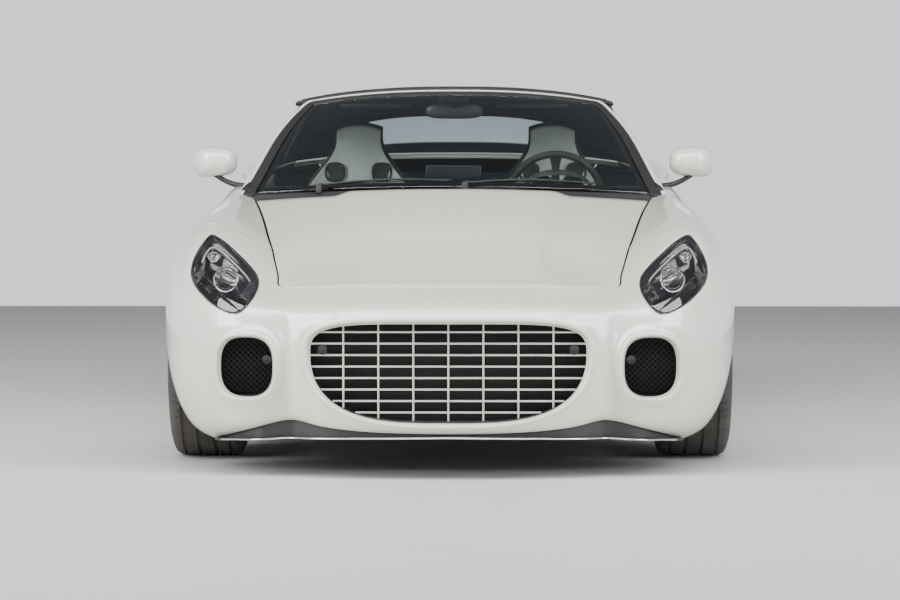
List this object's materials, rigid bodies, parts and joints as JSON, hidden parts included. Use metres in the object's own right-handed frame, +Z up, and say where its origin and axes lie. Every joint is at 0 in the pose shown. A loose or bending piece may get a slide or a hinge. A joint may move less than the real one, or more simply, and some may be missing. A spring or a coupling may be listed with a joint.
{
  "type": "roadster car",
  "caption": "Two-seat front-engined roadster with raised soft top, egg-crate grille, opening doors, bonnet and boot lid, steered front wheels and free-turning wheels.",
  "frame": {"origin": "on the ground under the middle of the bounding box", "axes": "+Z up; the nose points to -Y; the car's left side is +X"},
  "size_m": [1.9682, 4.621, 1.315],
  "materials": {
    "paint": "gloss pearl white",
    "black_plastic": "satin black",
    "glass": "lightly tinted",
    "soft_top_cloth": "woven black cloth",
    "grille_white": "gloss off-white",
    "lamp_bowl": "gloss black",
    "lamp_red": "clear red",
    "steel": "satin",
    "structure": "semi-gloss black",
    "interior_dark": "dark stitched leather",
    "seat_leather": "pale grey-green leather",
    "bulkhead_trim": "dark brown leather",
    "cast_alloy": "as cast",
    "rubber_tyre": "tread rubber",
    "alloy_wheel": "painted silver"
  },
  "bodies": {
    "chassis": {"floor_pan": "structure", "nose": "paint", "front_fender_left": "paint", "front_fender_right": "paint", "rear_quarter_left": "paint", "rear_quarter_right": "paint", "rear_bumper": "paint", "sills": "paint", "cowl": "black_plastic", "windscreen_frame": "paint", "windscreen": "glass", "soft_top": "soft_top_cloth", "rear_window": "glass", "rear_deck": "paint", "grille": "grille_white", "intake_meshes": "black_plastic", "splitter": "black_plastic", "headlamp_bowls": "lamp_bowl", "headlamp_lenses": "glass", "tail_lamps": "lamp_red", "diffuser": "black_plastic", "exhaust": "steel", "plate_carrier": "black_plastic", "dashboard": "interior_dark", "steering_column": "interior_dark", "seat_left": "seat_leather", "seat_right": "seat_leather", "centre_console": "interior_dark", "interior_mirror": "black_plastic", "wipers": "black_plastic", "powertrain": "cast_alloy", "front_structure": "structure", "rear_structure": "structure", "boot_tub": "structure", "firewall": "structure", "rear_bulkhead": "bulkhead_trim", "wheel_liners": "black_plastic", "front_suspension": "structure", "rear_suspension": "structure"},
    "bonnet": {"bonnet": "paint"},
    "boot_lid": {"boot_lid": "paint"},
    "door_left": {"door_left": "paint", "door_glass_left": "glass", "mirror_left": "paint"},
    "door_right": {"door_right": "paint", "door_glass_right": "glass", "mirror_right": "paint"},
    "steer_left": {"knuckle_left": "cast_alloy"},
    "steer_right": {"knuckle_right": "cast_alloy"},
    "wheel_front_left": {"tyre_front_left": "rubber_tyre", "rim_front_left": "alloy_wheel"},
    "wheel_front_right": {"tyre_front_right": "rubber_tyre", "rim_front_right": "alloy_wheel"},
    "wheel_rear_left": {"tyre_rear_left": "rubber_tyre", "rim_rear_left": "alloy_wheel"},
    "wheel_rear_right": {"tyre_rear_right": "rubber_tyre", "rim_rear_right": "alloy_wheel"},
    "steering_wheel": {"steering_wheel": "interior_dark"}
  },
  "joints": [
    {"name": "bonnet_hinge", "type": "hinge", "parent": "chassis", "child": "bonnet", "pos_m": [0, -0.836, 0.935], "axis": [-1, 0, 0], "range_deg": [0, 50]},
    {"name": "boot_hinge", "type": "hinge", "parent": "chassis", "child": "boot_lid", "pos_m": [0, 1.33, 1.066], "axis": [1, 0, 0], "range_deg": [0, 60]},
    {"name": "door_left_hinge", "type": "hinge", "parent": "chassis", "child": "door_left", "pos_m": [0.948, -0.52, 0.58], "axis": [0, 0, -1], "range_deg": [0, 65]},
    {"name": "door_right_hinge", "type": "hinge", "parent": "chassis", "child": "door_right", "pos_m": [-0.948, -0.52, 0.58], "axis": [0, 0, 1], "range_deg": [0, 65]},
    {"name": "steer_left_kingpin", "type": "hinge", "parent": "chassis", "child": "steer_left", "pos_m": [0.7825, -1.38, 0.343], "axis": [0, 0, 1], "range_deg": [-28, 28]},
    {"name": "steer_right_kingpin", "type": "hinge", "parent": "chassis", "child": "steer_right", "pos_m": [-0.7825, -1.38, 0.343], "axis": [0, 0, 1], "range_deg": [-28, 28]},
    {"name": "wheel_front_left_spin", "type": "hinge", "parent": "steer_left", "child": "wheel_front_left", "pos_m": [0.8445, -1.38, 0.343], "axis": [1, 0, 0], "continuous": true},
    {"name": "wheel_front_right_spin", "type": "hinge", "parent": "steer_right", "child": "wheel_front_right", "pos_m": [-0.8445, -1.38, 0.343], "axis": [1, 0, 0], "continuous": true},
    {"name": "wheel_rear_left_spin", "type": "hinge", "parent": "chassis", "child": "wheel_rear_left", "pos_m": [0.8135, 1.37, 0.343], "axis": [1, 0, 0], "continuous": true},
    {"name": "wheel_rear_right_spin", "type": "hinge", "parent": "chassis", "child": "wheel_rear_right", "pos_m": [-0.8135, 1.37, 0.343], "axis": [1, 0, 0], "continuous": true},
    {"name": "steering_wheel_turn", "type": "hinge", "parent": "chassis", "child": "steering_wheel", "pos_m": [0.395, 0.06, 0.88], "axis": [0, 0.9272, 0.3746], "range_deg": [-420, 420]}
  ],
  "couplings": [
    {"joint": "steer_right_kingpin", "follows": "steer_left_kingpin", "ratio": 1},
    {"joint": "steering_wheel_turn", "follows": "steer_left_kingpin", "ratio": 15}
  ]
}
